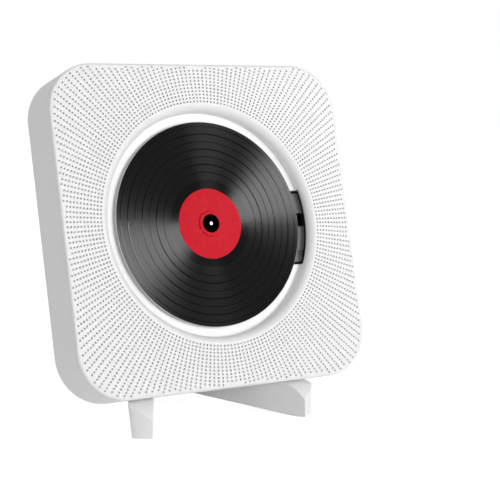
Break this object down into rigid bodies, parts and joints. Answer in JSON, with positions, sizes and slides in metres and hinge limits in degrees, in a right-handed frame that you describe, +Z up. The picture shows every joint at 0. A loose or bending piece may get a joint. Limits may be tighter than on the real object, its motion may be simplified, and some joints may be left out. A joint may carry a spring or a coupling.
{
  "type": "wall mounted cd player",
  "caption": "Square disc player with a sunken disc well, perforated front and top buttons, leaning on a two-plate crossed stand; hangs on keyholes.",
  "frame": {"origin": "on the table under the middle of the whole object's box", "axes": "+Z up, the player's front faces -Y and leans back by 14 degrees, +X to the right of someone facing it"},
  "size_m": [0.1884, 0.1346, 0.2069],
  "materials": {
    "white_shell": "smooth, satin gloss",
    "white_stand": "smooth, satin gloss",
    "white_tray": "smooth, satin gloss",
    "white_key": "smooth, satin",
    "white_connector": "moulded",
    "black_connector": "moulded",
    "black_switch": "moulded",
    "grey_drive": "fine spark texture",
    "black_chassis": "fine texture",
    "black_cap": "smooth",
    "red_hub": "satin",
    "red_label": "satin print",
    "black_disc": "glossy with fine concentric grooves",
    "steel": "bright zinc",
    "motor_steel": "satin zinc",
    "speaker_steel": "black semi-gloss",
    "speaker_paper": "pressed black paper",
    "magnet": "dull dark grey",
    "board_green": "solder-masked",
    "board_blue": "solder-masked",
    "chip": "moulded",
    "capacitor": "sleeved can",
    "rubber": "soft black",
    "nylon": "natural nylon",
    "sled_black": "moulded",
    "lens": "clear with a blue coating"
  },
  "bodies": {
    "stand": {"stand_left": "white_stand", "stand_right": "white_stand"},
    "player": {"front_panel": "white_shell", "case_frame": "white_shell", "rear_cover": "white_shell", "case_screws": "steel", "disc_tray": "white_tray", "tray_screws": "steel", "speaker_screws": "steel", "main_board": "board_green", "board_screws": "steel", "board_chips": "chip", "board_capacitors": "capacitor", "bluetooth_module": "board_blue", "usb_socket": "steel", "usb_tongue": "white_connector", "headphone_jack": "black_connector", "aux_jack": "black_connector", "dc_jack": "black_connector", "power_switch": "black_connector", "ir_board": "board_green", "ir_receiver": "chip", "ir_screws": "steel", "key_board": "board_green", "key_board_screws": "steel", "tact_switches": "black_connector", "drive_chassis": "black_chassis", "drive_dampers": "rubber", "drive_screws": "steel", "drive_plate_upper": "grey_drive", "drive_plate_lower": "grey_drive", "spindle_motor": "motor_steel", "guide_rail_upper": "steel", "guide_rail_lower": "steel", "gear_pin": "steel", "sled_motor": "motor_steel", "speaker_frame_left": "speaker_steel", "speaker_cone_left": "speaker_paper", "speaker_magnet_left": "magnet", "speaker_frame_right": "speaker_steel", "speaker_cone_right": "speaker_paper", "speaker_magnet_right": "magnet"},
    "hub": {"spindle_shaft": "steel", "spindle_hub": "red_hub", "hub_cap": "black_cap", "hub_balls": "steel"},
    "disc": {"disc": "black_disc", "disc_label": "red_label"},
    "sled": {"pickup_sled": "sled_black", "pickup_lens": "lens"},
    "sled_gear": {"sled_gear": "nylon"},
    "motor_pinion": {"motor_pinion": "nylon"},
    "switch_knob": {"switch_knob": "black_switch"},
    "power_button": {"power_button": "white_key"},
    "mode_button": {"mode_button": "white_key"},
    "previous_button": {"previous_button": "white_key"},
    "play_button": {"play_button": "white_key"},
    "next_button": {"next_button": "white_key"},
    "volume_down_button": {"volume_down_button": "white_key"},
    "volume_up_button": {"volume_up_button": "white_key"}
  },
  "joints": [
    {"name": "player_lift", "type": "slide", "parent": "stand", "child": "player", "axis": [0, 0.2419, 0.9703], "range_m": [0, 0.06]},
    {"name": "hub_spin", "type": "hinge", "parent": "player", "child": "hub", "pos_m": [0, -0.03965, 0.11551], "axis": [0, 0.9703, -0.2419], "continuous": true},
    {"name": "disc_off", "type": "slide", "parent": "hub", "child": "disc", "axis": [0, -0.9703, 0.2419], "range_m": [0, 0.04]},
    {"name": "sled_slide", "type": "slide", "parent": "player", "child": "sled", "axis": [1, 0, 0], "range_m": [0, 0.034]},
    {"name": "sled_gear_spin", "type": "hinge", "parent": "player", "child": "sled_gear", "pos_m": [0.041, -0.03478, 0.08132], "axis": [0, 0.9703, -0.2419], "range_deg": [-1, 558]},
    {"name": "motor_pinion_spin", "type": "hinge", "parent": "player", "child": "motor_pinion", "pos_m": [0.03039, -0.03734, 0.07103], "axis": [0, 0.9703, -0.2419], "range_deg": [-2228, 2]},
    {"name": "power_press", "type": "slide", "parent": "player", "child": "power_button", "axis": [0, -0.2419, -0.9703], "range_m": [0, 0.0006], "stiffness_N_per_m": 600, "springref_m": -0.0005},
    {"name": "mode_press", "type": "slide", "parent": "player", "child": "mode_button", "axis": [0, -0.2419, -0.9703], "range_m": [0, 0.0006], "stiffness_N_per_m": 600, "springref_m": -0.0005},
    {"name": "previous_press", "type": "slide", "parent": "player", "child": "previous_button", "axis": [0, -0.2419, -0.9703], "range_m": [0, 0.0006], "stiffness_N_per_m": 600, "springref_m": -0.0005},
    {"name": "play_press", "type": "slide", "parent": "player", "child": "play_button", "axis": [0, -0.2419, -0.9703], "range_m": [0, 0.0006], "stiffness_N_per_m": 600, "springref_m": -0.0005},
    {"name": "next_press", "type": "slide", "parent": "player", "child": "next_button", "axis": [0, -0.2419, -0.9703], "range_m": [0, 0.0006], "stiffness_N_per_m": 600, "springref_m": -0.0005},
    {"name": "volume_down_press", "type": "slide", "parent": "player", "child": "volume_down_button", "axis": [0, -0.2419, -0.9703], "range_m": [0, 0.0006], "stiffness_N_per_m": 600, "springref_m": -0.0005},
    {"name": "volume_up_press", "type": "slide", "parent": "player", "child": "volume_up_button", "axis": [0, -0.2419, -0.9703], "range_m": [0, 0.0006], "stiffness_N_per_m": 600, "springref_m": -0.0005},
    {"name": "switch_slide", "type": "slide", "parent": "player", "child": "switch_knob", "axis": [0, 0.2419, 0.9703], "range_m": [0, 0.003]}
  ],
  "couplings": [
    {"joint": "sled_gear_spin", "follows": "sled_slide", "rad_per_m": 285.71},
    {"joint": "motor_pinion_spin", "follows": "sled_slide", "rad_per_m": -1142.9}
  ]
}
